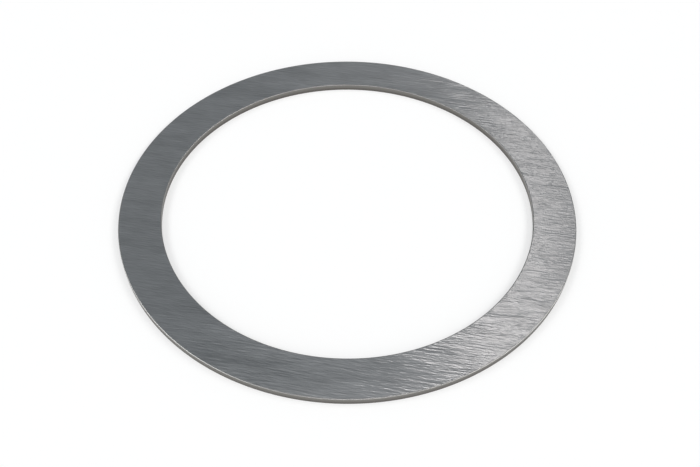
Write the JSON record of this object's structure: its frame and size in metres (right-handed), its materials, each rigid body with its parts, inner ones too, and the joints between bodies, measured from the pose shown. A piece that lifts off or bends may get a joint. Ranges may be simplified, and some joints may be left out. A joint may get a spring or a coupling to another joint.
{
  "type": "shim ring",
  "caption": "Thin flat steel ring that takes up axial play between parts on a shaft, blanked from strip, with square sheared edges.",
  "frame": {"origin": "centre of the lower face, the side of the ring that it rests on", "axes": "+Z along the axis of the bore, from the lower face to the rolled-over upper face; X and Y lie in the lower face"},
  "size_m": [0.0617, 0.0616, 0.001],
  "materials": {
    "strip_steel": "cold-rolled strip with a straight drawn grain on the faces, sheared edges"
  },
  "bodies": {
    "root": {"shim_ring": "strip_steel"}
  },
  "joints": []
}
